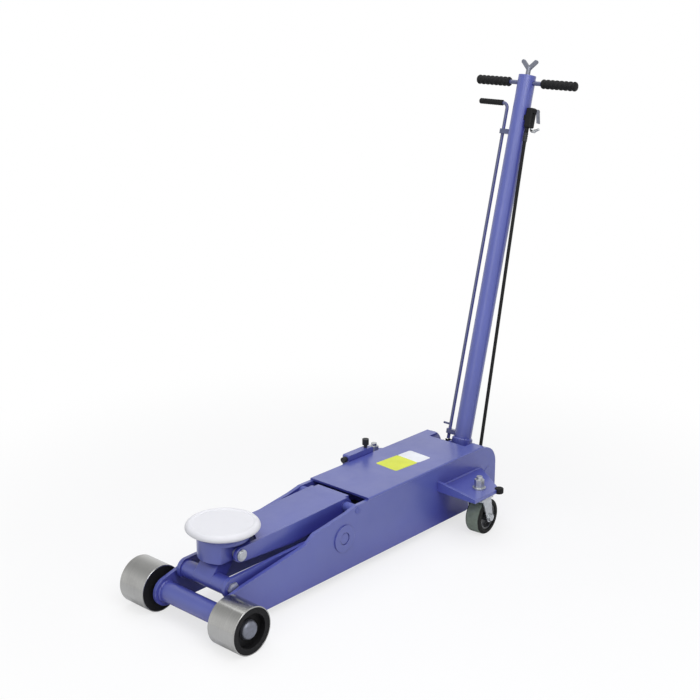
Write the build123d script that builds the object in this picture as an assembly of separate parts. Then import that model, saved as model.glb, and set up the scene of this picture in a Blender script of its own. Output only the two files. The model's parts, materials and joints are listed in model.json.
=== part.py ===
"""Air-hydraulic trolley jack: long box chassis, parallelogram lift arm and leaning steering handle."""
from build123d import *
import os
from math import cos, pi, radians, sin, tan

# All lengths are in millimetres. While modelling, x = 0 is the front axle and +x runs to the rear,
# y = 0 is the middle plane with the left side at -y, and z = 0 is the floor.
SIDES = {"left": -1, "right": 1}
RUN_GAP = 0.3            # radial or end clearance of pieces that turn on each other
FIT_GAP = 0.05           # radial clearance of pieces that are fixed in each other

# Chassis
half_width = 100         # outer face of a side plate
plate_t = 10
plate_bottom = 22
rear_end = 1032
rear_corner_r = 55
rear_bottom = 60         # lower rear corner of a side plate
slope_start = 900        # where the lower edge starts to rise
cover_top = 188
cover_t = 6
cover_gap = 20           # between the arm's rear end and the cover
cover_rear = 975
notch_front = 940        # opening in the cover for the handle
notch_margin = 28        # cover left between the notch and a side plate's inner face
belly_t = 5
belly_front = 520
belly_rear = 1018
shoulder_x = 452         # side plates reach full height here
step_rear = (300, 158)   # points on the top edge of a side plate
step_mid = (410, 173)
step_front = (270, 139)
brow = (60, 109)

# Front rollers
roller_r = 57.5
roller_w = 83
roller_gap = 11          # between a side plate and its roller
rim_t = 2.5
core_inset = 1           # black core behind the rim's end
core_wall = 14           # black face between the rim and the hub recess
axle_r = 15
axle_tube_r = 24.5
axle_collar_r = 21       # spacer between a side plate and its roller
hub_recess = 17
axle_stub = 9            # axle's end in its cap nut
axle_nut_r = 23
axle_nut_h = 15

# Lift arm and its parallel link
arm_pivot = (455, 168)
arm_front = (98, 163)
link_drop = (50, 58)     # from an arm pivot forward and down to the link pivot
arm_gap = 12             # between an arm side and a link bar
arm_wall = 8
arm_eye_r = 18
arm_knee = (271, 165)    # middle of the arm's side where its top starts to fall
arm_knee_r = 19
arm_belly = 12           # how much deeper the arm's side is below the knee
arm_rear_r = 21
arm_tail = 20            # top plate behind the pivot's axis
pivot_tube_r = 17
pivot_shaft_r = 12.5
pivot_spigot_r = 8.5
link_gap = 8             # between a link bar and its side plate
link_t = 10
link_eye_r = 25
link_tube_r = 21
link_pin_r = 10
link_nut_r = 16
link_nut_t = 6
link_bolt_r = 12
link_head_r = 14
link_head_t = 6
boss_ring_r = 35
boss_hole_r = 16
boss_t = 3
lift_max = 62            # degrees that the arm swings

# Saddle
saddle_top = 229
saddle_r = 90
saddle_flat_r = 76
saddle_pad_t = 24
saddle_cup_t = 6
saddle_cup_r = 62
saddle_stem_r = 18
saddle_stem_l = 18
bracket_gap = 10         # between the saddle bracket and an arm side
bracket_foot_half = 29
bracket_top_r = 62
bracket_neck_r = 62
bracket_neck_drop = 14   # neck below the saddle pin's axis
bracket_seat_t = 8
saddle_pin_r = 11
saddle_pin_out = 6       # stand-out of the pin from the arm, with its collar
saddle_collar_r = 14

# Ram and power unit
horn_reach = 75
horn_inner = 19
horn_t = 12
horn_pin_r = 10
horn_eye_r = 18
ram_tongue_half = 17
ram_rod_r = 20
ram_slot_gap = 1.2
tongue_wall = 12         # round the slot of the ram's tongue
piston_l = 28
piston_lead = 30         # from the cylinder's gland to the piston at full stroke
cylinder_r = 35
cylinder_bore = 27.5
cylinder_front = 560
cylinder_rear = 760
gland_l = 18             # closed front end of the cylinder that guides the rod
cylinder_end_t = 8
block_rear = 850
block_half = 62
block_top = 150
tank_front = 600
tank_gap = 12            # between the tank and a side plate
tank_top = 176
motor_rear = 925
motor_r = 34
cap_rear = 940
bracket_t = 14
bracket_rise = 10        # cylinder bracket above the cylinder
tank_lift = 4            # gap between the cylinder and the tank
casting_edge = 8         # rounding of the power unit's castings
chest_half = 18
chest_reach = 10         # valve chest behind the handle's pivot

# Wings with the casters
wing_top = 129
wing_t = 10
wing_front = 771
wing_rear_outer = 876
wing_rear_inner = 965
wing_half = 225
gusset_rise = 18
gusset_t = 8
bumper_r = 12
bumper_h = 15
kingpin_inset = 41       # from a wing's outer edge
kingpin = (843, wing_half - kingpin_inset)
kingpin_r = 8
kingpin_head_h = 4.8
kingpin_hex_r = 13.5
kingpin_washer_t = 4
kingpin_nut_h = 22
caster_r = 48
caster_w = 44
caster_trail = 16
caster_turn = 184        # degrees from a wheel that trails towards the front
tyre_t = 13
fork_leg_t = 4
fork_half = 27           # outer face of a fork leg
race_r = 27
race_h = 11
fork_top_t = 5
fork_eye_r = 13.5
caster_axle_r = 6
caster_boss_r = 12
hub_lip = 5              # rim of the caster hub round its dished faces
hub_inset = 3

# Handle, measured along its own axis from the tilt pivot
handle_pivot = (994, 110)
handle_lean = 14.35      # degrees back from upright
tube_r = 24.3
tube_wall = 3
tube_low = 48
tube_cap_t = 4
tube_plug_l = 10
collar_r = 29
collar_low = 36
collar_high = 68
cheek_inner = 26
cheek_t = 12
cheek_r = 24
bridge_low = 30
handle_pin_r = 12
handle_spacer_r = 18
tee_height = 1065
tube_over = 16           # tube above the tee bar's axis
tee_half = 158
tee_r = 6
grip_r = 13
grip_inner = 52
grip_cap = 3             # closed end of a grip, past the bar
release_rod_r = 4
rod_low = 36
knob_hub_h = 24
knob_hub_r = 6.5
wing_reach = 20
wing_rise = 37
knob_wing_r = 5.5
knob_wing_t = 7
spindle_top = -12
spindle_low = -46
spindle_r = 7
flex_r = 3
latch_y = 48
latch_r = 4.75
latch_low = 57
latch_below = 59         # latch lever's grip below the tee bar
latch_bend_r = 15
latch_grip_l = 76
latch_grip_r = 8
latch_grip_end = 3       # closed end of the grip
latch_pin_at = 98
latch_pin_l = 24
latch_pin_r = 3
guide_low = 72
guide_below = 143        # upper guide below the tee bar
guide_t = 13
sector_r = 56
sector_t = 8
sector_skirt = 14        # depth of the sector below the pin's axis
sector_stops = (0, handle_lean, 40, 64)  # leans at which the latch can drop in, in degrees
notch_w = 11.4
notch_depth = 8
valve_below = 121        # foot of the air valve below the tee bar
valve_h = 54
valve_depth = 24
valve_u = -5             # middle of the valve body in front of the handle's axis
valve_y = (-25, -49)     # inner and outer faces of the valve body
valve_ear_r = 6
valve_ear_t = 4
valve_ear_half = 9.9     # outer face of an ear of the lever's hinge
valve_strap_h = 14
lever_t = 5
lever_pin_down = 8       # hinge of the lever below the top of the valve body
lever_pin_out = 5        # and out from its face
lever_boss_r = 4
lever_splay = 14         # lower end of the lever out from the valve's face
lever_l = 32
nipple_r = 3.5
nipple_place = (2, -41)  # across the handle: rearward, then sideways
nipple_l = 12            # straight end that the air line plugs onto
nipple_bend = 7
nipple_drop = 12         # corner of the nipple's axis below the valve
nipple_neck = 5          # shoulder between the bend and that straight end
nipple_neck_r = 5.5
nipple_rise = 25         # degrees that the end points up

# Air hose: a straight pull from the valve to the manifold
hose_r = 4.75
hose_barb_l = 14
hose_end_run = 50        # straight stretch at each end
hose_top = (-8, -34)     # across the handle: rearward, then sideways
hose_barb_r = 5.7
hose_foot = (1020, -54, 96)
hose_lean = (14, 3, 100)  # from the foot to where the hose leaves its upright end
manifold_top = 84
manifold_low = 64
manifold_edge = 8        # from the hose barb's axis to the manifold's faces

# Filler block on the right-hand side plate
filler_front = 644
filler_rear = 742
filler_t = 22
filler_low = 150
filler_top = 203
breather_r = 9
breather_h = 24
plug_r = 7.6
plug_h = 12

# Derived places
axle_z = roller_r
nose_r = axle_z - plate_bottom
plate_top = cover_top - cover_t
plate_inner = half_width - plate_t
roller_inner = half_width + roller_gap
roller_outer = roller_inner + roller_w
cover_front = arm_pivot[0] + arm_rear_r + cover_gap
notch_half = plate_inner - notch_margin
tank_half = plate_inner - tank_gap
rim_bore = roller_r - rim_t
nut_seat = roller_outer - hub_recess + RUN_GAP
link_rear = (arm_pivot[0] - link_drop[0], arm_pivot[1] - link_drop[1])
link_front = (arm_front[0] - link_drop[0], arm_front[1] - link_drop[1])
link_outer = plate_inner - link_gap
link_inner = link_outer - link_t
arm_half = link_inner - arm_gap
arm_inner = arm_half - arm_wall
bracket_half = arm_inner - bracket_gap
saddle_x = arm_front[0]
cup_top = saddle_top - saddle_pad_t
cup_low = cup_top - saddle_cup_t
bracket_top = cup_low - RUN_GAP
horn_pin = (
    arm_pivot[0] + horn_reach * sin(radians(lift_max / 2)),
    arm_pivot[1] - horn_reach * cos(radians(lift_max / 2)),
)
ram_z = (horn_pin[1] + arm_pivot[1] - horn_reach) / 2
tube_high = tee_height + tube_over
latch_bend = tee_height - latch_below
guide_high = tee_height - guide_below
valve_low = tee_height - valve_below
knob_low = tube_high + tube_cap_t + RUN_GAP
ram_travel = 2 * (horn_pin[0] - arm_pivot[0])
lever_pivot = valve_low + valve_h - lever_pin_down
grip_outer = tee_half + grip_cap
nipple_leg = nipple_bend * tan(radians(90 + nipple_rise) / 2) + nipple_neck + nipple_l
nipple_end = (
    nipple_place[0],
    nipple_place[1] - nipple_leg * cos(radians(nipple_rise)),
    valve_low - nipple_drop + nipple_leg * sin(radians(nipple_rise)),
)
lean_sin = sin(radians(handle_lean))
lean_cos = cos(radians(handle_lean))
handle_place = Plane(
    (handle_pivot[0], 0, handle_pivot[1]), x_dir=(lean_cos, 0, -lean_sin), z_dir=(lean_sin, 0, lean_cos)
).location


def block(x0, x1, y0, y1, z0, z1):
    """Rectangular block between six planes."""
    return Pos((x0 + x1) / 2, (y0 + y1) / 2, (z0 + z1) / 2) * Box(x1 - x0, abs(y1 - y0), z1 - z0)


def rod_x(y, z, r, x0, x1):
    return Pos((x0 + x1) / 2, y, z) * Rot(0, 90, 0) * Cylinder(r, abs(x1 - x0))


def rod_y(x, z, r, y0, y1):
    return Pos(x, (y0 + y1) / 2, z) * Rot(90, 0, 0) * Cylinder(r, abs(y1 - y0))


def rod_z(x, y, r, z0, z1):
    return Pos(x, y, (z0 + z1) / 2) * Cylinder(r, abs(z1 - z0))


def hex_z(x, y, r, z0, z1):
    """Hexagon bar with corner radius r."""
    return Pos(x, y, z0) * extrude(RegularPolygon(r, 6), z1 - z0)


def side_view(sketch, y0, y1):
    """Plate between two widths from a sketch whose x is the length and whose y is the height."""
    low, high = sorted((y0, y1))
    return extrude(Plane((0, high, 0), x_dir=(1, 0, 0), z_dir=(0, -1, 0)) * sketch, high - low)


def outline(points):
    return make_face(Polyline(*points, close=True))


def round_hull(*eyes):
    """Sketch of the band round circles given as (place, radius)."""
    return make_hull([edge for place, r in eyes for edge in (Pos(*place) * Circle(r)).edges()])


def mirrored(make):
    """Both sides of a piece as one group of separate solids."""
    return group(*(make(sign) for sign in SIDES.values()))


def group(*pieces):
    return Compound([solid for piece in pieces for solid in piece.solids()])


def on_handle(piece):
    return handle_place * piece


def handle_point(u, y, w):
    """Place in the model of a point given in the handle's own frame."""
    return (
        handle_pivot[0] + u * lean_cos + w * lean_sin,
        y,
        handle_pivot[1] - u * lean_sin + w * lean_cos,
    )


def side_plate(sign):
    nose = Pos(0, axle_z) * Circle(nose_r)
    front = outline([brow, step_front, (step_front[0], plate_bottom), (brow[0], plate_bottom)])
    body = outline([
        (step_front[0], plate_bottom), (slope_start, plate_bottom), (rear_end, rear_bottom),
        (rear_end, plate_top), (shoulder_x, plate_top), step_mid, step_rear, step_front,
    ])
    top_corner = body.vertices().sort_by(Axis.X)[-2:].sort_by(Axis.Y)[-1]
    body = fillet(top_corner, rear_corner_r)
    profile = make_hull(nose.edges() + front.edges()) + body
    plate = side_view(profile, sign * plate_inner, sign * half_width)
    ring = rod_y(*link_rear, boss_ring_r, sign * half_width, sign * (half_width + boss_t))
    ring -= rod_y(*link_rear, boss_hole_r, sign * half_width, sign * (half_width + boss_t))
    plate += ring
    bores = (
        (0, axle_z, axle_r), (*arm_pivot, pivot_spigot_r),
        (*link_rear, link_bolt_r), (*handle_pivot, handle_pin_r),
    )
    for x, z, r in bores:
        plate -= rod_y(x, z, r + FIT_GAP, sign * plate_inner, sign * (half_width + boss_t))
    return plate


def top_cover():
    cover = block(cover_front, cover_rear, -half_width, half_width, plate_top, cover_top)
    cover = fillet(cover.edges().filter_by(Axis.X).group_by(Axis.Z)[-1], cover_t / 2)
    return cover - block(notch_front, cover_rear, -notch_half, notch_half, plate_top, cover_top)


def axle_tube():
    tube = rod_y(0, axle_z, axle_tube_r, -plate_inner, plate_inner)
    return tube - rod_y(0, axle_z, axle_r + FIT_GAP, -plate_inner, plate_inner)


def axle_shaft():
    end = nut_seat + axle_stub
    shaft = rod_y(0, axle_z, axle_r, -end, end)
    for sign in SIDES.values():
        shaft += rod_y(0, axle_z, axle_collar_r, sign * half_width, sign * (roller_inner - RUN_GAP))
    return shaft


def axle_nut(sign):
    """Closed domed nut in the recess of a roller."""
    nut = rod_y(0, axle_z, axle_nut_r, sign * nut_seat, sign * (nut_seat + axle_nut_h))
    rim = nut.edges().filter_by(GeomType.CIRCLE).sort_by(Axis.Y)
    nut = fillet(rim[-1] if sign > 0 else rim[0], axle_nut_h * 2 / 3)
    return nut - rod_y(0, axle_z, axle_r + FIT_GAP, sign * nut_seat, sign * (nut_seat + axle_stub + FIT_GAP))


def roller_rim(sign):
    rim = rod_y(0, axle_z, roller_r, sign * roller_inner, sign * roller_outer)
    rim = chamfer(rim.edges().filter_by(GeomType.CIRCLE), rim_t / 4)
    return rim - rod_y(0, axle_z, rim_bore, sign * roller_inner, sign * roller_outer)


def roller_core(sign):
    face = roller_outer - core_inset
    core = rod_y(0, axle_z, rim_bore - FIT_GAP, sign * roller_inner, sign * face)
    core -= rod_y(0, axle_z, rim_bore - core_wall, sign * (roller_outer - hub_recess), sign * face)
    return core - rod_y(0, axle_z, axle_r + RUN_GAP, sign * roller_inner, sign * face)


def belly_plate():
    rise = (rear_bottom - plate_bottom) / (rear_end - slope_start)
    tail_z = plate_bottom + rise * (belly_rear - slope_start)
    profile = outline([
        (belly_front, plate_bottom), (slope_start, plate_bottom), (belly_rear, tail_z),
        (belly_rear, tail_z + belly_t), (slope_start, plate_bottom + belly_t),
        (belly_front, plate_bottom + belly_t),
    ])
    return side_view(profile, -plate_inner, plate_inner)


def wing_plate(sign):
    y_in = sign * half_width
    y_out = sign * wing_half
    plan = outline([
        (wing_front, y_in), (wing_front, y_out), (wing_rear_outer, y_out), (wing_rear_inner, y_in),
    ])
    plate = Pos(0, 0, wing_top - wing_t) * extrude(plan, wing_t)
    web = Plane((wing_front, 0, 0), x_dir=(0, 1, 0), z_dir=(1, 0, 0)) * outline([
        (y_in, wing_top), (y_out, wing_top), (y_in, wing_top + gusset_rise),
    ])
    plate += extrude(web, gusset_t)
    return plate - rod_z(kingpin[0], sign * kingpin[1], kingpin_r + FIT_GAP, wing_top - wing_t, wing_top)


def corner_bumper(sign):
    mid = wing_top - wing_t / 2
    rubber = rod_z(wing_rear_outer, sign * wing_half, bumper_r, mid - bumper_h / 2, mid + bumper_h / 2)
    rubber = fillet(rubber.edges().filter_by(GeomType.CIRCLE), bumper_r / 4)
    return rubber - wing_plate(sign)


def caster_kingpin(sign):
    x, y = kingpin[0], sign * kingpin[1]
    fork_low = wing_top - wing_t - RUN_GAP - race_h - fork_top_t
    head_low = fork_low - RUN_GAP - kingpin_head_h
    nut_low = wing_top + kingpin_washer_t
    nut_high = nut_low + kingpin_nut_h
    bolt = rod_z(x, y, kingpin_r, head_low, nut_high + kingpin_r)
    bolt += hex_z(x, y, kingpin_hex_r, head_low, head_low + kingpin_head_h)
    washer = rod_z(x, y, kingpin_hex_r + kingpin_washer_t, wing_top, nut_low)
    nut = hex_z(x, y, kingpin_hex_r, nut_low, nut_high)
    bore = rod_z(x, y, kingpin_r + FIT_GAP, wing_top, nut_high)
    return group(bolt, washer - bore, nut - bore)


def caster_place(sign):
    """Frame of a caster: its own origin is on the swivel axis at the floor and -x is the trail."""
    return Pos(kingpin[0], sign * kingpin[1], 0) * Rot(0, 0, caster_turn)


def caster_fork(sign):
    top = wing_top - wing_t - RUN_GAP
    race_low = top - race_h
    crown_low = race_low - fork_top_t
    race = rod_z(0, 0, race_r, race_low, top)
    race = fillet(race.edges().group_by(Axis.Z)[-1], race_h / 3)
    crown = block(-caster_trail - fork_eye_r, race_r, -fork_half, fork_half, crown_low, race_low)
    fork = race + crown
    leg = round_hull(
        ((-caster_trail, caster_r), fork_eye_r),
        ((-caster_trail, crown_low + fork_top_t / 2), fork_top_t / 2),
        ((race_r * 0.6, crown_low + fork_top_t / 2), fork_top_t / 2),
    )
    for leg_sign in SIDES.values():
        fork += side_view(leg, leg_sign * (fork_half - fork_leg_t), leg_sign * fork_half)
    fork -= rod_z(0, 0, kingpin_r + RUN_GAP, crown_low, top)
    fork -= rod_y(-caster_trail, caster_r, caster_axle_r + FIT_GAP, -fork_half, fork_half)
    axle = rod_y(-caster_trail, caster_r, caster_axle_r, -fork_half, fork_half)
    for end_sign in SIDES.values():
        end = Pos(-caster_trail, end_sign * fork_half, caster_r) * Rot(-90 * end_sign, 0, 0)
        axle += end * extrude(RegularPolygon(caster_axle_r * 1.7, 6), caster_axle_r)
    return caster_place(sign) * group(fork, axle)


def caster_tyre(sign):
    tyre = rod_y(-caster_trail, caster_r, caster_r, -caster_w / 2, caster_w / 2)
    tyre = fillet(tyre.edges().filter_by(GeomType.CIRCLE), tyre_t / 2)
    tyre -= rod_y(-caster_trail, caster_r, caster_r - tyre_t, -caster_w / 2, caster_w / 2)
    return caster_place(sign) * tyre


def caster_hub(sign):
    half = caster_w / 2
    hub_r = caster_r - tyre_t - FIT_GAP
    hub = rod_y(-caster_trail, caster_r, hub_r, -half + hub_inset, half - hub_inset)
    for face_sign in SIDES.values():
        hub -= rod_y(-caster_trail, caster_r, hub_r - hub_lip, face_sign * half / 3, face_sign * half)
    hub += rod_y(-caster_trail, caster_r, caster_boss_r, -half, half)
    hub -= rod_y(-caster_trail, caster_r, caster_axle_r + RUN_GAP, -half, half)
    return caster_place(sign) * hub


def arm_pivot_shaft():
    spigot_out = half_width + 1
    shaft = rod_y(*arm_pivot, pivot_shaft_r, -plate_inner, plate_inner)
    return shaft + rod_y(*arm_pivot, pivot_spigot_r, -spigot_out, spigot_out)


def link_pivot_bolt(sign):
    head_out = half_width + boss_t / 2
    inner_end = link_inner - link_head_t
    bolt = rod_y(*link_rear, link_bolt_r, sign * inner_end, sign * head_out)
    bolt += rod_y(*link_rear, link_head_r, sign * half_width, sign * head_out)
    bolt += rod_y(*link_rear, link_head_r, sign * (link_outer + RUN_GAP), sign * plate_inner)
    return bolt + rod_y(*link_rear, link_head_r, sign * inner_end, sign * (link_inner - RUN_GAP))


def arm_profile():
    knee = (arm_knee, arm_knee_r)
    belly = ((arm_knee[0], arm_knee[1] - arm_belly), arm_knee_r)
    rear = round_hull((arm_pivot, arm_rear_r), knee, belly)
    return rear + round_hull(belly, knee, (arm_front, arm_eye_r))


def arm_side(sign):
    side = side_view(arm_profile(), sign * arm_inner, sign * arm_half)
    side -= rod_y(*arm_pivot, pivot_tube_r, sign * arm_inner, sign * arm_half)
    return side - rod_y(*arm_front, saddle_pin_r + RUN_GAP, sign * arm_inner, sign * arm_half)


def arm_top_plate():
    """Top of the arm, bent at the knee and cut round the saddle."""
    tops = [
        (arm_pivot[0] + arm_tail, arm_pivot[1] + arm_rear_r), (arm_pivot[0], arm_pivot[1] + arm_rear_r),
        (arm_knee[0], arm_knee[1] + arm_knee_r), (arm_front[0], arm_front[1] + arm_eye_r),
    ]
    profile = outline(tops + [(x, z - arm_wall) for x, z in reversed(tops)])
    plate = side_view(profile, -arm_inner, arm_inner)
    plate -= rod_z(saddle_x, 0, saddle_flat_r, 0, saddle_top)
    return plate - rod_y(*arm_pivot, pivot_tube_r, -arm_inner, arm_inner)


def arm_pivot_tube():
    tube = rod_y(*arm_pivot, pivot_tube_r, -arm_half, arm_half)
    return tube - rod_y(*arm_pivot, pivot_shaft_r + RUN_GAP, -arm_half, arm_half)


def ram_horns():
    """Two crank plates under the arm's pivot tube, with the pin that the ram pushes."""
    profile = round_hull((arm_pivot, arm_rear_r - arm_wall), (horn_pin, horn_eye_r))
    pieces = []
    for sign in SIDES.values():
        horn = side_view(profile, sign * horn_inner, sign * (horn_inner + horn_t))
        horn -= rod_y(*arm_pivot, pivot_tube_r, sign * horn_inner, sign * (horn_inner + horn_t))
        horn -= rod_y(*horn_pin, horn_pin_r + FIT_GAP, sign * horn_inner, sign * (horn_inner + horn_t))
        pieces.append(horn)
    pieces.append(rod_y(*horn_pin, horn_pin_r, -horn_inner - horn_t, horn_inner + horn_t))
    return group(*pieces)


def saddle_bracket():
    """Level block that carries the saddle on the arm's and the link's front pivots."""
    foot = round_hull((link_front, link_tube_r), (arm_front, arm_eye_r))
    foot = side_view(foot, -bracket_foot_half, bracket_foot_half)
    head = rod_y(*arm_front, arm_eye_r, -bracket_half, bracket_half)
    seat_low = bracket_top - bracket_seat_t
    neck_low = arm_front[1] - bracket_neck_drop
    neck = rod_z(saddle_x, 0, bracket_neck_r, neck_low, seat_low)
    neck &= block(0, 2 * saddle_x, -bracket_half, bracket_half, neck_low, seat_low)
    seat = rod_z(saddle_x, 0, bracket_top_r, seat_low, bracket_top)
    solid = foot + head + neck + seat
    solid -= rod_z(saddle_x, 0, saddle_stem_r + RUN_GAP, bracket_top - saddle_stem_l - RUN_GAP, bracket_top)
    solid -= rod_y(*arm_front, saddle_pin_r + FIT_GAP, -bracket_half, bracket_half)
    return solid - rod_y(*link_front, link_pin_r + RUN_GAP, -bracket_half, bracket_half)


def saddle_pin():
    out = arm_half + saddle_pin_out
    pin = rod_y(*arm_front, saddle_pin_r, -out, out)
    for sign in SIDES.values():
        collar_in = sign * (arm_half + RUN_GAP)
        pin += rod_y(*arm_front, saddle_collar_r, collar_in, sign * (arm_half + saddle_pin_out * 2 / 3))
    return pin


def saddle_cup():
    cup = rod_z(saddle_x, 0, saddle_cup_r, cup_low, cup_top)
    return cup + rod_z(saddle_x, 0, saddle_stem_r, cup_low - saddle_stem_l, cup_low)


def saddle_pad():
    """Round pad, widest at mid height, with a flat top."""
    belly = saddle_top - saddle_pad_t / 2
    section = outline([
        (0, cup_top), (saddle_cup_r, cup_top), (saddle_r + saddle_pad_t / 8, belly),
        (saddle_flat_r + saddle_pad_t / 6, saddle_top), (0, saddle_top),
    ])
    section = fillet(section.vertices().sort_by(Axis.X)[-1], saddle_pad_t / 4)
    top_corner = section.vertices().group_by(Axis.Y)[-1].sort_by(Axis.X)[-1]
    section = fillet(top_corner, saddle_pad_t / 3)
    pad = revolve(Plane.XZ * section, Axis.Z)
    return Pos(saddle_x, 0, 0) * pad


def link_bar(sign):
    profile = round_hull((link_rear, link_eye_r), (link_front, link_eye_r))
    bar = side_view(profile, sign * link_inner, sign * link_outer)
    bar -= rod_y(*link_rear, link_bolt_r + RUN_GAP, sign * link_inner, sign * link_outer)
    return bar - rod_y(*link_front, link_pin_r + FIT_GAP, sign * link_inner, sign * link_outer)


def link_cross_tube(sign):
    near = sign * (bracket_foot_half + RUN_GAP)
    tube = rod_y(*link_front, link_tube_r, near, sign * link_inner)
    return tube - rod_y(*link_front, link_pin_r + FIT_GAP, near, sign * link_inner)


def link_pin():
    end = link_outer + link_nut_t + RUN_GAP
    pin = rod_y(*link_front, link_pin_r, -end, end)
    for sign in SIDES.values():
        nut = Pos(link_front[0], sign * link_outer, link_front[1]) * Rot(-90 * sign, 0, 0)
        pin += nut * extrude(RegularPolygon(link_nut_r, 6), link_nut_t)
    return pin


def ram():
    """Slotted tongue, rod and piston: the horn pin rides up and down in the slot as the arm swings."""
    rise = horn_pin[1] - ram_z
    slot_half = horn_pin_r + ram_slot_gap
    half_x = slot_half + tongue_wall
    half_z = rise + slot_half + tongue_wall
    y = ram_tongue_half
    centre = Pos(horn_pin[0], 0, ram_z)
    tongue = centre * Box(2 * half_x, 2 * y, 2 * half_z)
    tongue = fillet(tongue.edges().filter_by(Axis.Y), tongue_wall / 2)
    tongue -= centre * Box(2 * slot_half, 2 * y, 2 * (rise + slot_half))
    piston_front = cylinder_front + ram_travel + piston_lead
    rod = rod_x(0, ram_z, ram_rod_r, horn_pin[0] + half_x, piston_front)
    piston = rod_x(0, ram_z, cylinder_bore - RUN_GAP, piston_front, piston_front + piston_l)
    return tongue + rod + piston


def ram_cylinder():
    cylinder = rod_x(0, ram_z, cylinder_r, cylinder_front, cylinder_rear)
    bore_front = cylinder_front + gland_l
    cylinder -= rod_x(0, ram_z, cylinder_bore, bore_front, cylinder_rear - cylinder_end_t)
    return cylinder - rod_x(0, ram_z, ram_rod_r + RUN_GAP, cylinder_front, bore_front)


def cylinder_bracket():
    rear = cylinder_front + bracket_t
    high = ram_z + cylinder_r + bracket_rise
    plate = block(cylinder_front, rear, -plate_inner, plate_inner, plate_bottom + belly_t, high)
    return plate - rod_x(0, ram_z, cylinder_r, cylinder_front, rear)


def reservoir_tank():
    low = ram_z + cylinder_r + tank_lift
    tank = block(tank_front, cylinder_rear, -tank_half, tank_half, low, tank_top)
    return fillet(tank.edges().filter_by(Axis.X), casting_edge)


def pump_block():
    body = block(cylinder_rear, block_rear, -block_half, block_half, plate_bottom + belly_t, block_top)
    return chamfer(body.edges().filter_by(Axis.X).group_by(Axis.Z)[-1], casting_edge)


def air_motor():
    """Motor barrel, its end cap and the release valve chest behind the cap."""
    motor = rod_x(0, ram_z, motor_r, block_rear, motor_rear)
    motor += block(motor_rear, cap_rear, -block_half, block_half, manifold_low, ram_z + motor_r)
    chest_rear = handle_pivot[0] + chest_reach
    chest_top = handle_pivot[1] - cheek_r - 1
    motor += block(cap_rear, chest_rear, -chest_half, chest_half, manifold_low, chest_top)
    bore = on_handle(rod_z(0, 0, spindle_r + RUN_GAP, spindle_low - RUN_GAP, 0))
    return motor - bore


def air_manifold():
    x, y, barb_top = hose_foot
    rear = x + manifold_edge
    body = block(cap_rear, rear, -plate_inner, y + manifold_edge, manifold_low, manifold_top)
    return body + rod_z(x, y, hose_barb_r, manifold_top, barb_top)


def handle_pin(sign):
    """Stub pin of the handle with the spacer that centres the fork."""
    x, z = handle_pivot
    pin = rod_y(x, z, handle_pin_r, sign * (cheek_inner - 2), sign * (half_width + 1))
    spacer_in = cheek_inner + cheek_t + RUN_GAP
    if sign > 0:
        spacer_in = latch_y + sector_t / 2
    return pin + rod_y(x, z, handle_spacer_r, sign * spacer_in, sign * plate_inner)


def latch_sector():
    """Notched plate round the right-hand handle pin, under the tip of the latch rod."""
    plate = Circle(sector_r) - Circle(handle_pin_r + FIT_GAP)
    for lean in sector_stops:
        plate -= Rot(0, 0, -lean) * Pos(0, sector_r) * Rectangle(notch_w, 2 * notch_depth)
    plate -= Pos(0, -sector_r / 2 - sector_skirt) * Rectangle(2 * sector_r, sector_r)
    plate -= Pos(-sector_r, 0) * Rectangle(sector_r, 2 * sector_r)
    half = sector_t / 2
    return side_view(Pos(*handle_pivot) * plate, latch_y - half, latch_y + half)


def filler_block():
    lug = block(filler_front, filler_rear, half_width, half_width + filler_t, filler_low, filler_top)
    return fillet(lug.edges().filter_by(Axis.Y).group_by(Axis.Z)[-1], filler_t / 4)


def breather_caps():
    """Upright breather and a plug in the front of the filler block."""
    y = half_width + filler_t / 2
    x = filler_rear - 2 * breather_r
    cap = rod_z(x, y, breather_r / 2, filler_top, filler_top + breather_h / 2)
    cap += rod_z(x, y, breather_r, filler_top + breather_h / 3, filler_top + breather_h)
    plug = rod_x(y, filler_top - filler_t / 2, plug_r, filler_front - plug_h, filler_front)
    return group(cap, plug)


def handle_fork():
    """Cheeks, bridge and collar that hold the foot of the handle tube."""
    half = cheek_inner + cheek_t
    cheek = round_hull(((0, 0), cheek_r), ((0, bridge_low), cheek_r))
    pieces = Pos(0, 0, (bridge_low + tube_low) / 2) * Box(2 * cheek_r, 2 * half, tube_low - bridge_low)
    for sign in SIDES.values():
        pieces += side_view(cheek, sign * cheek_inner, sign * half)
    pieces += rod_z(0, 0, collar_r, collar_low, collar_high)
    pieces -= rod_z(0, 0, tube_r + FIT_GAP, tube_low, collar_high)
    pieces -= rod_z(0, 0, release_rod_r + RUN_GAP, 0, tube_low)
    pieces -= rod_y(0, 0, handle_pin_r + RUN_GAP, -half, half)
    return on_handle(pieces)


def handle_tube():
    tube = rod_z(0, 0, tube_r, tube_low, tube_high)
    tube -= rod_z(0, 0, tube_r - tube_wall, tube_low, tube_high)
    cap = rod_z(0, 0, tube_r, tube_high, tube_high + tube_cap_t)
    cap += rod_z(0, 0, tube_r - tube_wall - FIT_GAP, tube_high - tube_plug_l, tube_high)
    cap -= rod_z(0, 0, release_rod_r + RUN_GAP, tube_high - tube_plug_l, tube_high + tube_cap_t)
    return on_handle(group(tube, cap))


def tee_bar(sign):
    """Half of the crossbar, coped onto the tube."""
    bar = rod_y(0, tee_height, tee_r, sign * tube_r / 2, sign * tee_half)
    return on_handle(bar - rod_z(0, 0, tube_r, tube_low, tube_high))


def tee_grip(sign):
    grip = rod_y(0, tee_height, grip_r, sign * grip_inner, sign * grip_outer)
    grip = fillet(grip.edges().filter_by(GeomType.CIRCLE), grip_r / 4)
    return on_handle(grip - rod_y(0, tee_height, tee_r, sign * grip_inner, sign * tee_half))


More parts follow.
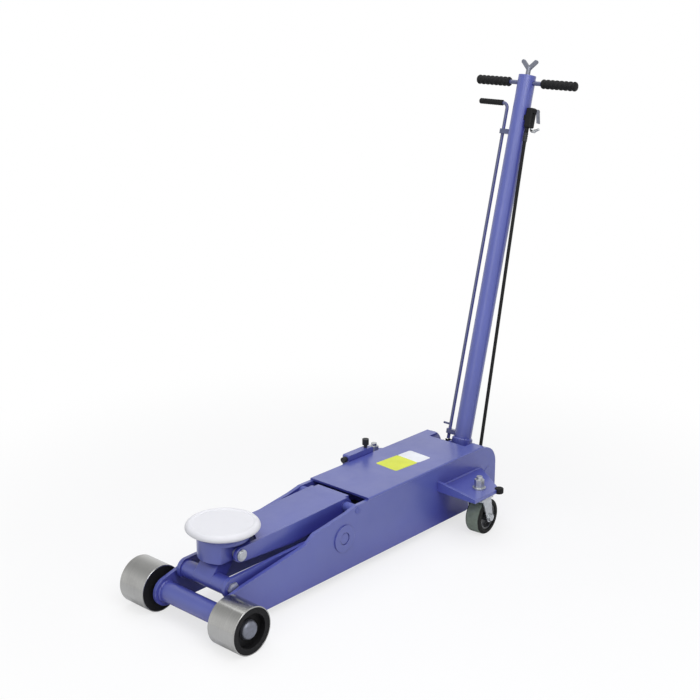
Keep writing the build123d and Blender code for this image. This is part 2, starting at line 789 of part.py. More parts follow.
def rod_guide(low):
    """Ear on the handle that the latch rod slides through."""
    ear_r = latch_r * 2
    plan = round_hull(((0, latch_y), ear_r), ((0, 0), ear_r))
    ear = Pos(0, 0, low) * extrude(plan, guide_t)
    ear -= rod_z(0, latch_y, latch_r + RUN_GAP, low, low + guide_t)
    return on_handle(ear - rod_z(0, 0, tube_r, low, low + guide_t))


def valve_body():
    """Air valve on the left of the handle, with its strap and the upper hose barb."""
    inner, outer = valve_y
    mid = (inner + outer) / 2
    half = valve_depth / 2
    body = Pos(valve_u, mid, valve_low + valve_h / 2) * Box(valve_depth, inner - outer, valve_h)
    body = fillet(body.edges().filter_by(Axis.Z), half * 2 / 3)
    body = fillet(body.edges().group_by(Axis.Z)[-1] + body.edges().group_by(Axis.Z)[0], half / 3)
    strap = Box(valve_depth * 2 / 3, inner - outer, valve_strap_h)
    strap = Pos(valve_u, mid + half, valve_low + valve_h / 2) * strap
    body += strap - rod_z(0, 0, tube_r, valve_low, valve_low + valve_h)
    body += rod_z(*hose_top, hose_barb_r, valve_low - hose_barb_l, valve_low)
    for sign in SIDES.values():
        ear_in = valve_u + sign * (valve_ear_half - valve_ear_t)
        ear_out = valve_u + sign * valve_ear_half
        body += rod_x(outer - valve_ear_r / 2, lever_pivot, valve_ear_r, ear_in, ear_out)
    return on_handle(body)


def valve_lever():
    """Thumb lever hinged at the top of the valve body."""
    outer = valve_y[1]
    half = valve_ear_half - valve_ear_t - RUN_GAP
    hinge = outer - lever_pin_out
    tip = outer - lever_splay
    high = lever_pivot + lever_boss_r
    low = lever_pivot - lever_l
    boss = rod_x(hinge, lever_pivot, lever_boss_r, valve_u - half, valve_u + half)
    blade = Plane((valve_u - half, 0, 0), x_dir=(0, 1, 0), z_dir=(1, 0, 0)) * outline([
        (hinge, high), (hinge - lever_t, high), (tip - lever_t, low), (tip, low),
    ])
    return on_handle(boss + extrude(blade, 2 * half))


def inlet_nipple():
    """Plug nipple that hooks outwards and up under the valve body."""
    corner = (*nipple_place, valve_low - nipple_drop)
    path = FilletPolyline((*nipple_place, valve_low), corner, nipple_end, radius=nipple_bend)
    nipple = sweep(Plane(path @ 0, z_dir=path % 0) * Circle(nipple_r), path)
    shoulder = Plane(path @ 1 - path % 1 * nipple_l, z_dir=-(path % 1))
    return on_handle(nipple + extrude(shoulder * RegularPolygon(nipple_neck_r, 6), nipple_neck))


def hose_route():
    return [
        handle_point(*hose_top, valve_low - hose_barb_l),
        handle_point(*hose_top, valve_low - hose_barb_l - hose_end_run),
        tuple(foot + lean for foot, lean in zip(hose_foot, hose_lean)),
        (hose_foot[0], hose_foot[1], hose_foot[2] + hose_end_run),
        hose_foot,
    ]


def air_hose():
    points = [Vector(*p) for p in hose_route()]
    radii = []
    for before, here, after in zip(points, points[1:], points[2:]):
        turn = radians((here - before).get_angle(after - here))
        tangent = 0.45 * min((here - before).length, (after - here).length)
        radii.append(tangent / tan(turn / 2))
    print("hose bend radii", [round(r) for r in radii])
    path = FilletPolyline(*points, radius=radii)
    hose = sweep(Plane(path @ 0, z_dir=path % 0) * Circle(hose_r), path)
    share = hose.volume / (pi * hose_r**2 * path.length)
    print("hose length", round(path.length), "volume share", round(share, 4))
    return hose


def release_rod():
    return on_handle(rod_z(0, 0, release_rod_r, rod_low, knob_low + knob_hub_h / 2))


def release_knob():
    hub = rod_z(0, 0, knob_hub_r, knob_low, knob_low + knob_hub_h)
    for sign in SIDES.values():
        root = ((0, knob_hub_h - knob_wing_r - 1), knob_wing_r)
        wing = round_hull(root, ((sign * wing_reach, wing_rise), knob_wing_r))
        face = Plane((-knob_wing_t / 2, 0, knob_low), x_dir=(0, 1, 0), z_dir=(1, 0, 0)) * wing
        hub += extrude(face, knob_wing_t)
    rod_top = knob_low + knob_hub_h / 2
    return on_handle(hub - rod_z(0, 0, release_rod_r + FIT_GAP, knob_low, rod_top + FIT_GAP))


def flex_shaft():
    return on_handle(rod_z(0, 0, flex_r, spindle_top, rod_low))


def valve_spindle():
    return on_handle(rod_z(0, 0, spindle_r, spindle_low, spindle_top))


def latch_rod():
    end = latch_y + latch_bend_r + latch_grip_l
    path = FilletPolyline(
        (0, latch_y, latch_low), (0, latch_y, latch_bend), (0, end, latch_bend), radius=latch_bend_r
    )
    rod = sweep(Plane(path @ 0, z_dir=path % 0) * Circle(latch_r), path)
    return on_handle(rod + rod_y(0, latch_pin_at, latch_pin_r, latch_y, latch_y + latch_pin_l))


def latch_grip():
    start = latch_y + latch_bend_r
    end = start + latch_grip_l
    grip = rod_y(0, latch_bend, latch_grip_r, start, end + latch_grip_end)
    grip = fillet(grip.edges().filter_by(GeomType.CIRCLE), latch_grip_r / 3)
    return on_handle(grip - rod_y(0, latch_bend, latch_r, start, end))


def make_nodes():
    nodes = {
        "top_cover": top_cover(),
        "axle_tube": axle_tube(),
        "axle_shaft": axle_shaft(),
        "axle_nuts": mirrored(axle_nut),
        "belly_plate": belly_plate(),
        "wing_plates": mirrored(wing_plate),
        "corner_bumpers": mirrored(corner_bumper),
        "caster_kingpins": mirrored(caster_kingpin),
        "arm_pivot_shaft": arm_pivot_shaft(),
        "link_pivot_bolts": mirrored(link_pivot_bolt),
        "cylinder_bracket": cylinder_bracket(),
        "ram_cylinder": ram_cylinder(),
        "reservoir_tank": reservoir_tank(),
        "pump_block": pump_block(),
        "air_motor": air_motor(),
        "air_manifold": air_manifold(),
        "handle_pins": mirrored(handle_pin),
        "latch_sector": latch_sector(),
        "filler_block": filler_block(),
        "breather_caps": breather_caps(),
        "arm_side_plates": mirrored(arm_side),
        "arm_top_plate": arm_top_plate(),
        "arm_pivot_tube": arm_pivot_tube(),
        "ram_horns": ram_horns(),
        "saddle_bracket": saddle_bracket(),
        "saddle_pin": saddle_pin(),
        "saddle_cup": saddle_cup(),
        "saddle_pad": saddle_pad(),
        "link_bars": mirrored(link_bar),
        "link_cross_tubes": mirrored(link_cross_tube),
        "link_pin": link_pin(),
        "ram": ram(),
        "handle_fork": handle_fork(),
        "handle_tube": handle_tube(),
        "tee_bar": mirrored(tee_bar),
        "tee_grips": mirrored(tee_grip),
        "rod_guides": group(rod_guide(guide_low), rod_guide(guide_high)),
        "valve_body": valve_body(),
        "inlet_nipple": inlet_nipple(),
        "air_hose": air_hose(),
        "release_rod": release_rod(),
        "release_knob": release_knob(),
        "flex_shaft": flex_shaft(),
        "valve_spindle": valve_spindle(),
        "latch_rod": latch_rod(),
        "latch_grip": latch_grip(),
        "valve_lever": valve_lever(),
    }
    for side, sign in SIDES.items():
        nodes["side_plate_" + side] = side_plate(sign)
        nodes["roller_rim_" + side] = roller_rim(sign)
        nodes["roller_core_" + side] = roller_core(sign)
        nodes["caster_fork_" + side] = caster_fork(sign)
        nodes["caster_tyre_" + side] = caster_tyre(sign)
        nodes["caster_hub_" + side] = caster_hub(sign)
    return nodes


# The part's origin is on the floor under the middle of its length.
front_reach = -roller_r
rear_reach = handle_point(tube_r, 0, tube_high + tube_cap_t)[0]
middle_x = (front_reach + rear_reach) / 2

if __name__ == "__main__":
    os.makedirs("parts", exist_ok=True)
    for name, piece in make_nodes().items():
        export_step(Pos(-middle_x, 0, 0) * piece, f"parts/{name}.step")
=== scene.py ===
"""Studio scene of a trolley jack: finishes, grips, pad, hose, welds, panels, light and camera, in metres."""
import json
from math import cos, pi, radians, sin, tau

import bpy
from mathutils import Matrix, Vector


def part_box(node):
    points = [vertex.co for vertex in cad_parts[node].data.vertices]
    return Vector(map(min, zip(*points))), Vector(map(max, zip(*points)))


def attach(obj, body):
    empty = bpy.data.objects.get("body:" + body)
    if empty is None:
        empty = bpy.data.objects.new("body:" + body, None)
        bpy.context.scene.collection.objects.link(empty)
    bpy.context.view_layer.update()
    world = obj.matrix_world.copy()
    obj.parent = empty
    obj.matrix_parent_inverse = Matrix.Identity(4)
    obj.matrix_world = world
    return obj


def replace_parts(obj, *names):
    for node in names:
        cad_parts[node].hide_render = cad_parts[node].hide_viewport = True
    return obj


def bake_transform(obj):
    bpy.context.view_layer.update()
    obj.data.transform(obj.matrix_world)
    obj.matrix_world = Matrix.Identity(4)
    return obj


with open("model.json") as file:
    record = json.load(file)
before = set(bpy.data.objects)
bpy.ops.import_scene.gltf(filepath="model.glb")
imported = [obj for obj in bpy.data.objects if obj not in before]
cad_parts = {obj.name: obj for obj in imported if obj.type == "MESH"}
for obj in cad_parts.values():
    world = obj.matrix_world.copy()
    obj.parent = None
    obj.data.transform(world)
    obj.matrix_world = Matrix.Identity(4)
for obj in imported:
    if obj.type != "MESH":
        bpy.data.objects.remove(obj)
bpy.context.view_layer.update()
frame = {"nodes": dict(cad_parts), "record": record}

record = frame["record"]
joints = {joint["name"]: joint for joint in record["behaviour"]["joints"]}

# Camera, found by fitting the photograph's perspective
CAMERA_AT = (-2.3996, -2.0858, 1.4934)
CAMERA_AIM = (-0.0814, -0.0041, 0.5444)
CAMERA_LENS = 67.83
SENSOR = 36.0

# Paint and finish colours, as display values from 0 to 255
BLUE = (78, 87, 160)
BLUE_WORN = (132, 143, 192)
# Painted shade: the deeper blue that the blue paint takes in corners, creases and between parts
BLUE_PAINTED_SHADE = (50, 50, 144)
ROD_GREY = (68, 74, 106)
STEEL = (172, 172, 170)
ZINC = (188, 191, 194)
DARK_STEEL = (40, 41, 46)
BLACK = (13, 13, 15)
TYRE = (16, 17, 16)
# Painted sheen: the lighter grey of a caster's tread, for the light that it catches
TREAD_PAINTED_SHEEN = (116, 126, 114)
HUB_GREY = (74, 76, 78)
PAD_WHITE = (222, 222, 227)
KNOB_GREY = (120, 123, 134)
LABEL_YELLOW = (214, 222, 58)
LABEL_WHITE = (232, 234, 240)
FLOOR = (238, 238, 240)

# Half widths
TYRE_HALF = 0.022   # a caster's tyre, from its own middle
ARM_HALF = 0.060    # outer face of an arm side, from the jack's middle

# Grips on the tee bar, placed along the handle and out from its middle
TEE_HEIGHT = 1.065
GRIP_INNER = 0.052
GRIP_OUTER = 0.161
GRIP_R = 0.013
GRIP_RIB = 0.0026
GRIP_RIBS = 7

# Grip on the bent end of the latch rod, placed likewise
LATCH_HEIGHT = 1.006
LATCH_Y = 0.048
LATCH_BEND_R = 0.015
LATCH_GRIP_L = 0.079
LATCH_GRIP_R = 0.008
LATCH_RIB = 0.0009
LATCH_RIBS = 11

# Hose route, the same points as the solid's, measured across and along the handle or from the floor
HOSE_R = 0.00475
HOSE_TOP = (-0.008, -0.034)
HOSE_TOP_AT = 0.930
HOSE_END_RUN = 0.050
HOSE_FOOT = (0.4055, -0.054, 0.096)
HOSE_LEAN = (0.014, 0.003, 0.100)

# Crimped ferrule on each end of the hose
FERRULE_L = 0.024
FERRULE_SWELL = 1.35   # its radius over the hose's
FERRULE_LIP = 0.001
CRIMPS = 3
CRIMP_FROM = 0.004
CRIMP_PITCH = 0.006
CRIMP_W = 0.004
CRIMP_WAIST = 0.9      # share of the ferrule's radius

# Flexible shaft from the valve spindle up to the release rod, along the handle from its pivot
FLEX_R = 0.003
FLEX_LOW = -0.012
FLEX_HIGH = 0.036
FLEX_COILS = 16
FLEX_GROOVE = 0.9      # share of the shaft's radius

# Weld beads: along the wings, round the ends of the axle tube and round the handle at its collar's top
WELD_R = 0.0035
WELD_SIDES = 8
WELD_STEP = 0.003
WELD_RIPPLE = 0.14     # share of the bead's radius
RIPPLE_TURN = 2.1      # in radians from one step to the next
WING_TOP = 0.129
WELD_FRONT = 0.010     # bare ends of a wing's joint with the side plate
WELD_REAR = 0.004
COLLAR_TOP = 0.068
COLLAR_WELD_R = 0.9 * WELD_R
TUBE_R = 0.0243

# Blank panels on the cover: the place that they share, and the span of each from it
LABEL_MID = 0.129
LABEL_Y = -0.003
LABEL_TURN = radians(-4)
LABEL_HALF = 0.038
LABEL_CLIP = 0.004
FILM_T = 0.0003
YELLOW_SPAN = (-0.064, 0.020)
WHITE_SPAN = (0.020, 0.070)

# Studio: a fill light, a dome that only the camera and reflections see, and a floor that fades to white
FILL_LIGHT = 0.3
FILL_TINT = (0.95, 0.97, 1.0, 1)
CAMERA_RAYS = ("Is Camera Ray",)
MIRROR_RAYS = ("Is Glossy Ray", "Is Transmission Ray")
DOME = ((0.34, 1.0), (0.9, 0.4))   # (height of the direction, grey seen there)
FLOOR_HALF = 8.0
FADE_FROM = 0.5
FADE_TO = 1.6
NEAR_GLOW = ((CAMERA_RAYS, 0.7), (MIRROR_RAYS, 0.0))   # share of white where the fade starts

# The handle's own frame: u across it to the rear, y sideways, w along it from its pivot
handle_axis = Vector(joints["release_turn"]["axis"]).normalized()
handle_across = Vector((handle_axis.z, 0, -handle_axis.x))
handle_root = Vector(joints["handle_tilt"]["pos_m"])
handle_place = Matrix.Translation(handle_root) @ Matrix(
    (handle_across, Vector((0, 1, 0)), handle_axis)
).transposed().to_4x4()


def on_handle(u, y, w):
    """Place in the frame of a point given in the handle's own."""
    return handle_place @ Vector((u, y, w))


def linear(colour):
    """Display values from 0 to 255 as the linear colour that a shader takes."""
    shares = [value / 255 for value in colour]
    return [c / 12.92 if c <= 0.04045 else ((c + 0.055) / 1.055) ** 2.4 for c in shares] + [1.0]


def shaded(colour, factor):
    """Linear colour made darker or lighter."""
    return [min(1.0, value * factor) for value in linear(colour)[:3]] + [1.0]


class Finish:
    """A material under construction, with short ways to add and join its nodes."""

    def __init__(self, name):
        self.material = bpy.data.materials.new(name)
        self.material.use_nodes = True
        self.tree = self.material.node_tree
        self.shader = self.tree.nodes["Principled BSDF"]
        self.place = self.add("ShaderNodeTexCoord").outputs["Object"]

    def add(self, kind, **values):
        """New node with the given settings."""
        node = self.tree.nodes.new(kind)
        for key, value in values.items():
            setattr(node, key, value)
        return node

    def feed(self, socket, value):
        """Give a socket a plain value or the output of another node."""
        if isinstance(value, bpy.types.NodeSocket):
            self.tree.links.new(value, socket)
        else:
            socket.default_value = value

    def set(self, **values):
        """Plain values of the shader, with _ for a space in a socket's name."""
        for key, value in values.items():
            self.shader.inputs[key.replace("_", " ")].default_value = value

    def stretched(self, scale):
        """Texture place with each axis scaled, for streaks and grooves."""
        mapping = self.add("ShaderNodeMapping")
        mapping.inputs["Scale"].default_value = scale
        self.feed(mapping.inputs["Vector"], self.place)
        return mapping.outputs["Vector"]

    def noise(self, scale, detail=4.0, place=None):
        """Cloudy value round 0.5, finer with a larger scale."""
        node = self.add("ShaderNodeTexNoise")
        node.inputs["Scale"].default_value = scale
        node.inputs["Detail"].default_value = detail
        self.feed(node.inputs["Vector"], place or self.place)
        return node.outputs["Fac"]

    def ramp(self, value, *stops):
        """Colour or grey by value, between two stops of (position, linear colour or grey)."""
        node = self.add("ShaderNodeValToRGB")
        for element, (position, colour) in zip(node.color_ramp.elements, stops):
            element.position = position
            element.color = colour if isinstance(colour, list) else (colour, colour, colour, 1)
        self.feed(node.inputs["Fac"], value)
        return node.outputs["Color"]

    def between(self, noise, low, high, top=0.7):
        """Colour or grey that goes from low to high over the usual range of a noise."""
        return self.ramp(noise, (0.3, low), (top, high))

    def mottled(self, colour, noise, dark, light, top=0.7):
        """Cloudy tone between a darker and a lighter shade of a colour."""
        return self.between(noise, shaded(colour, dark), shaded(colour, light), top)

    def mix(self, share, first, second):
        """Colour that goes from the first to the second by share."""
        node = self.add("ShaderNodeMix", data_type="RGBA")
        self.feed(node.inputs["Factor"], share)
        self.feed(node.inputs[6], first)
        self.feed(node.inputs[7], second)
        return node.outputs[2]

    def math(self, operation, *values):
        """Result of a math node, kept between 0 and 1."""
        node = self.add("ShaderNodeMath", operation=operation, use_clamp=True)
        for socket, value in zip(node.inputs, values):
            self.feed(socket, value)
        return node.outputs[0]

    def vector_math(self, operation, *values):
        """Outputs of a vector math node."""
        node = self.add("ShaderNodeVectorMath", operation=operation)
        for socket, value in zip(node.inputs, values):
            self.feed(socket, value)
        return node.outputs

    def axis(self, vector, name):
        """One of the X, Y and Z of a vector."""
        node = self.add("ShaderNodeSeparateXYZ")
        self.feed(node.inputs[0], vector)
        return node.outputs[name]

    def rounded(self, radius):
        """Normal that looks as if the edges were rounded."""
        node = self.add("ShaderNodeBevel", samples=4)
        node.inputs["Radius"].default_value = radius
        return node.outputs["Normal"]

    def edges(self, rounded):
        """How far the rounded normal leaves the face's own: 0 on a flat, more along an edge."""
        face = self.add("ShaderNodeNewGeometry").outputs["Normal"]
        alike = self.vector_math("DOT_PRODUCT", face, rounded)["Value"]
        return self.math("SUBTRACT", 1.0, alike)

    def corners(self, reach):
        """How closed in a place is by other surfaces within reach: 0 in the open, 1 far into a corner."""
        node = self.add("ShaderNodeAmbientOcclusion", samples=6)
        node.inputs["Distance"].default_value = reach
        return self.math("SUBTRACT", 1.0, node.outputs["AO"])

    def bump(self, height, distance, strength, normal=None):
        """Normal with a relief of the given height on it."""
        node = self.add("ShaderNodeBump")
        node.inputs["Strength"].default_value = strength
        node.inputs["Distance"].default_value = distance
        self.feed(node.inputs["Height"], height)
        if normal is not None:
            self.feed(node.inputs["Normal"], normal)
        return node.outputs["Normal"]

    def finish(self, colour, roughness, normal):
        """The material, with its shader's three main inputs joined."""
        self.feed(self.shader.inputs["Base Color"], colour)
        self.feed(self.shader.inputs["Roughness"], roughness)
        self.feed(self.shader.inputs["Normal"], normal)
        return self.material


def paint(name, colour, wear_and_sheen, shade_colour, edge_radius=0.0018):
    """Sprayed enamel: slight cloudiness, orange peel, a few rubbed edges, and painted shade, a deeper
    colour, in its corners and crevices.
    """
    make = Finish(name)
    rounded = make.rounded(edge_radius)
    base = make.mottled(colour, make.noise(5.0, detail=5.0), 0.93, 1.06)
    rub = make.math("MULTIPLY", make.edges(rounded), make.ramp(make.noise(70.0), (0.48, 0.0), (0.62, 1.0)))
    # Painted shade: where other surfaces close a place in, the paint turns towards its shade colour
    painted_shade_share = make.ramp(make.corners(0.12), (0.12, 0.0), (0.6, 0.8))
    base = make.mix(painted_shade_share, base, linear(shade_colour))
    tint = make.mix(make.math("MULTIPLY", rub, 2.2), base, linear(wear_and_sheen))
    rough = make.between(make.noise(24.0, detail=6.0), 0.33, 0.46)
    make.set(Coat_Weight=0.6, Coat_Roughness=0.2)
    peel = make.noise(420.0, detail=2.0)
    return make.finish(tint, rough, make.bump(peel, distance=0.0002, strength=0.25, normal=rounded))


def turned_steel(name, colour):
    """Bare lathe-turned steel: rings round the y axis, with faint stains."""
    make = Finish(name)
    rings = make.noise(1.0, detail=3.0, place=make.stretched((6.0, 900.0, 6.0)))
    stain = make.noise(16.0, detail=6.0)
    tone = make.ramp(rings, (0.25, shaded(colour, 0.9)), (0.75, shaded(colour, 1.06)))
    tint = make.mix(make.ramp(stain, (0.5, 0.0), (0.85, 0.4)), tone, shaded(colour, 0.55))
    rough = make.ramp(rings, (0.2, 0.15), (0.8, 0.24))
    make.set(Metallic=1.0)
    relief = make.bump(rings, distance=0.0002, strength=0.03, normal=make.rounded(0.001))
    return make.finish(tint, rough, relief)


def plated(name, colour, metallic=0.9, rough=(0.22, 0.4)):
    """Zinc or chrome plate with a faint spangle."""
    make = Finish(name)
    spangle = make.noise(150.0, detail=3.0)
    tone = make.mottled(colour, spangle, 0.85, 1.08)
    dull = make.between(make.noise(30.0, detail=5.0), *rough)
    make.set(Metallic=metallic)
    relief = make.bump(spangle, distance=0.0001, strength=0.2, normal=make.rounded(0.0008))
    return make.finish(tone, dull, relief)


def oiled_steel(name, colour):
    """Dark forged or cast steel with an oil film."""
    make = Finish(name)
    scale = make.noise(90.0, detail=8.0)
    tone = make.mottled(colour, make.noise(12.0), 0.7, 1.4)
    rough = make.between(scale, 0.38, 0.62)
    make.set(Metallic=0.5)
    relief = make.bump(scale, distance=0.0004, strength=0.35, normal=make.rounded(0.001))
    return make.finish(tone, rough, relief)


def painted_ends(name, inside, colour, inner):
    """Oiled shaft across the object whose ends, beyond inner to either side, are sprayed over."""
    make = Finish(name)
    reach = make.math("ABSOLUTE", make.axis(make.place, "Y"))
    sprayed = make.math("GREATER_THAN", reach, inner)
    steel = make.mottled(inside, make.noise(12.0), 0.7, 1.4)
    enamel = make.mottled(colour, make.noise(5.0, detail=5.0), 0.93, 1.06)
    scale = make.noise(90.0, detail=8.0)
    rough = make.between(scale, 0.36, 0.5)
    relief = make.bump(scale, distance=0.0003, strength=0.25, normal=make.rounded(0.001))
    return make.finish(make.mix(sprayed, steel, enamel), rough, relief)


def rubber(name, colour, grain=260.0):
    """Rubber or plastic, with finer pores for a larger grain."""
    make = Finish(name)
    pores = make.noise(grain)
    tone = make.mottled(colour, make.noise(22.0, detail=5.0), 0.75, 1.5, top=0.75)
    rough = make.between(pores, 0.5, 0.75)
    make.set(Specular_IOR_Level=0.22)
    relief = make.bump(pores, distance=0.0003, strength=0.3, normal=make.rounded(0.0006))
    return make.finish(tone, rough, relief)


def tyre(name, colour, sheen_colour, spin, half):
    """Rubber tyre whose tread, between its shoulders, carries a painted sheen: a lighter grey for the light
    that the tread catches.
    """
    make = Finish(name)
    offset = make.vector_math("SUBTRACT", make.place, spin["pos_m"])["Vector"]
    sideways = make.vector_math("DOT_PRODUCT", offset, spin["axis"])["Value"]
    reach = make.math("DIVIDE", make.math("ABSOLUTE", sideways), half)
    ragged = make.math("MULTIPLY", make.noise(60.0, detail=5.0), 0.2)
    # Painted sheen: the tread between the shoulders turns to the lighter grey, the sides stay black
    wear_and_sheen = make.ramp(make.math("ADD", reach, ragged), (0.84, 1.0), (0.96, 0.0))
    black = make.mottled(colour, make.noise(22.0, detail=5.0), 0.75, 1.5, top=0.75)
    grey = make.mottled(sheen_colour, make.noise(60.0, detail=6.0), 0.8, 1.15)
    pores = make.noise(180.0)
    rough = make.between(pores, 0.55, 0.8)
    make.set(Specular_IOR_Level=0.22)
    relief = make.bump(pores, distance=0.0003, strength=0.3, normal=make.rounded(0.0006))
    return make.finish(make.mix(wear_and_sheen, black, grey), rough, relief)


def moulded_pad(name, colour):
    """Matt moulded pad with a fine leathery grain, grubby patches and a painted shade that darkens its
    flank.
    """
    make = Finish(name)
    grain = make.noise(320.0, detail=5.0)
    grub = make.ramp(make.noise(14.0, detail=7.0), (0.5, 0.0), (0.85, 0.35))
    # Painted shade: the less a face looks upward, the darker it is made, so the flank is darker than the top
    upward = make.axis(make.add("ShaderNodeTexCoord").outputs["Normal"], "Z")
    painted_flank_shade = make.ramp(upward, (0.1, shaded(colour, 0.84)), (0.9, linear(colour)))
    tone = make.mix(grub, painted_flank_shade, shaded(colour, 0.78))
    rough = make.between(grain, 0.5, 0.68)
    relief = make.bump(grain, distance=0.0004, strength=0.25, normal=make.rounded(0.002))
    return make.finish(tone, rough, relief)


def printed_film(name, colour):
    """Plain unprinted sticker film, a little faded and scuffed."""
    make = Finish(name)
    fade = make.noise(30.0, detail=5.0)
    tone = make.mottled(colour, fade, 0.92, 1.04)
    rough = make.between(make.noise(120.0), 0.3, 0.5)
    return make.finish(tone, rough, make.bump(fade, distance=0.0002, strength=0.15))


# Finishes by material slot and, for the pieces that differ from their slot, by node
finishes = {
    "blue_paint": paint("blue_enamel", BLUE, BLUE_WORN, BLUE_PAINTED_SHADE),
    "turned_steel": turned_steel("turned_tread", STEEL),
    "zinc": plated("zinc_plate", ZINC),
    "dark_steel": oiled_steel("oiled_steel", DARK_STEEL),
    "black_core": rubber("black_core", BLACK, 300.0),
    "white_pad": moulded_pad("white_pad", PAD_WHITE),
    "black_rubber": rubber("black_rubber", BLACK),
    # The hub's paint takes dark steel as its painted shade in corners
    "caster_core": paint("hub_enamel", HUB_GREY, ZINC, DARK_STEEL),
    "black_plastic": rubber("black_moulding", BLACK, 400.0),
    "chrome": plated("bright_chrome", ZINC, 1.0, (0.08, 0.2)),
    "grey_rod": paint("rod_enamel", ROD_GREY, BLUE_WORN, BLUE_PAINTED_SHADE, 0.0008),
    "grey_knob": plated("cast_alloy", KNOB_GREY, 0.7, (0.35, 0.5)),
    "hose": rubber("hose_rubber", BLACK, 500.0),
}
own_finishes = {"arm_pivot_shaft": painted_ends("pivot_shaft", DARK_STEEL, BLUE, ARM_HALF)}
for side in ("left", "right"):
    spin = joints[f"caster_spin_{side}"]
    own_finishes[f"caster_tyre_{side}"] = tyre(f"painted_sheen_tyre_{side}", TYRE, TREAD_PAINTED_SHEEN, spin, TYRE_HALF)
for subpart in record["subparts"]:
    node = subpart["node"]
    materials = frame["nodes"][node].data.materials
    materials.clear()
    materials.append(own_finishes.get(node) or finishes[subpart["material_slot"]])


def new_mesh(name, points, faces, material, smooth=True):
    """Object in the scene with one material."""
    mesh = bpy.data.meshes.new(name)
    mesh.from_pydata(points, [], faces)
    mesh.materials.append(material)
    mesh.polygons.foreach_set("use_smooth", [smooth] * len(mesh.polygons))
    mesh.update()
    piece = bpy.data.objects.new(name, mesh)
    bpy.context.scene.collection.objects.link(piece)
    return piece


def ring_faces(rings, sides, closed=False):
    """Quads between successive rings of points; the last ring meets the first one or both are filled."""
    faces = []
    for ring in range(rings if closed else rings - 1):
        low, high = ring * sides, (ring + 1) % rings * sides
        for side in range(sides):
            after = (side + 1) % sides
            faces.append((low + side, low + after, high + after, high + side))
    if not closed:
        faces.append(tuple(reversed(range(sides))))
        faces.append(tuple(range((rings - 1) * sides, rings * sides)))
    return faces


def lathe(name, profile, place, material, sides=40):
    """Turned piece: profile is (radius, height) along the local z axis of place."""
    turns = [tau * side / sides for side in range(sides)]
    points = [place @ Vector((r * cos(turn), r * sin(turn), z)) for r, z in profile for turn in turns]
    return new_mesh(name, points, ring_faces(len(profile), sides), material)


def ribbed_profile(length, r, rib_depth, ribs):
    """Hand grip with rounded ends and a ring groove between its ribs."""
    end = r * 0.35
    ribbed_from = end + 0.0002
    ribbed_length = length - 2 * ribbed_from
    steps = 8 * ribs
    profile = [(r * 0.55, 0.0), (r * 0.85, end * 0.25), (r, end)]
    for step in range(steps + 1):
        share = step / steps
        groove = rib_depth * (0.5 - 0.5 * cos(tau * ribs * share)) ** 2
        profile.append((r - groove, ribbed_from + ribbed_length * share))
    return profile + [(r, length - end), (r * 0.85, length - end * 0.25), (r * 0.55, length)]


def along_y(origin, sign):
    """Frame at a point of the handle whose z axis points sideways."""
    turn = Matrix.Rotation(-sign * pi / 2, 4, "X")
    return handle_place @ Matrix.Translation(origin) @ turn


grip_pieces = []
for side, sign in (("left", -1), ("right", 1)):
    place = along_y((0, sign * GRIP_INNER, TEE_HEIGHT), sign)
    profile = ribbed_profile(GRIP_OUTER - GRIP_INNER, GRIP_R, GRIP_RIB, GRIP_RIBS)
    grip = lathe(f"tee_grip_{side}", profile, place, finishes["black_rubber"])
    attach(grip, "handle")
    grip_pieces.append(grip)
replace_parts(grip_pieces[0], "tee_grips")

latch_place = along_y((0, LATCH_Y + LATCH_BEND_R, LATCH_HEIGHT), 1)
latch_profile = ribbed_profile(LATCH_GRIP_L, LATCH_GRIP_R, LATCH_RIB, LATCH_RIBS)
latch_grip = lathe("latch_grip_ribbed", latch_profile, latch_place, finishes["black_rubber"], sides=32)
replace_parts(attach(latch_grip, "latch_rod"), "latch_grip")


def smooth_line(points, steps=6):
    """Points of a smooth line through the given ones."""
    line = []
    ends = [points[0]] + points + [points[-1]]
    for a, b, c, d in zip(ends, ends[1:], ends[2:], ends[3:]):
        for step in range(steps):
            t = step / steps
            line.append(tuple(
                q + t * ((r - p) / 2 + t * (p - 2.5 * q + 2 * r - s / 2 + t * (1.5 * (q - r) + (s - p) / 2)))
                for p, q, r, s in zip(a, b, c, d)
            ))
    return line + [points[-1]]


def saddle_cushion():
    """Moulded saddle pad: full round side, soft rim and a faintly dished top."""
    low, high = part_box("saddle_pad")
    r = (high[0] - low[0]) / 2
    t = high[2] - low[2]
    dish = 0.925 * t
    flank = [
        (0.68 * r, 0.0), (0.90 * r, 0.22 * t), (0.985 * r, 0.42 * t), (r, 0.56 * t),
        (0.985 * r, 0.74 * t), (0.945 * r, 0.91 * t), (0.89 * r, t),
        (0.845 * r, 0.985 * t), (0.81 * r, 0.93 * t), (0.74 * r, dish),
    ]
    profile = smooth_line(flank) + [(0.4 * r, dish), (0.02 * r, dish)]
    centre = Matrix.Translation(((low[0] + high[0]) / 2, (low[1] + high[1]) / 2, low[2]))
    pad = lathe("saddle_pad_moulded", profile, centre, finishes["white_pad"], sides=96)
    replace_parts(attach(pad, "saddle"), "saddle_pad")


saddle_cushion()


def hose_line():
    """Smooth line through the route, as a curve with the route's points as control points."""
    foot = Vector(HOSE_FOOT)
    route = [
        on_handle(*HOSE_TOP, HOSE_TOP_AT),
        on_handle(*HOSE_TOP, HOSE_TOP_AT - HOSE_END_RUN),
        foot + Vector(HOSE_LEAN),
        foot + Vector((0, 0, HOSE_END_RUN)),
        foot,
    ]
    curve = bpy.data.curves.new("air_hose_line", "CURVE")
    curve.dimensions = "3D"
    curve.resolution_u = 24
    spline = curve.splines.new("NURBS")
    spline.points.add(len(route) - 1)
    for point, place in zip(spline.points, route):
        point.co = (*place, 1)
    spline.order_u = 3
    spline.use_endpoint_u = True
    return curve


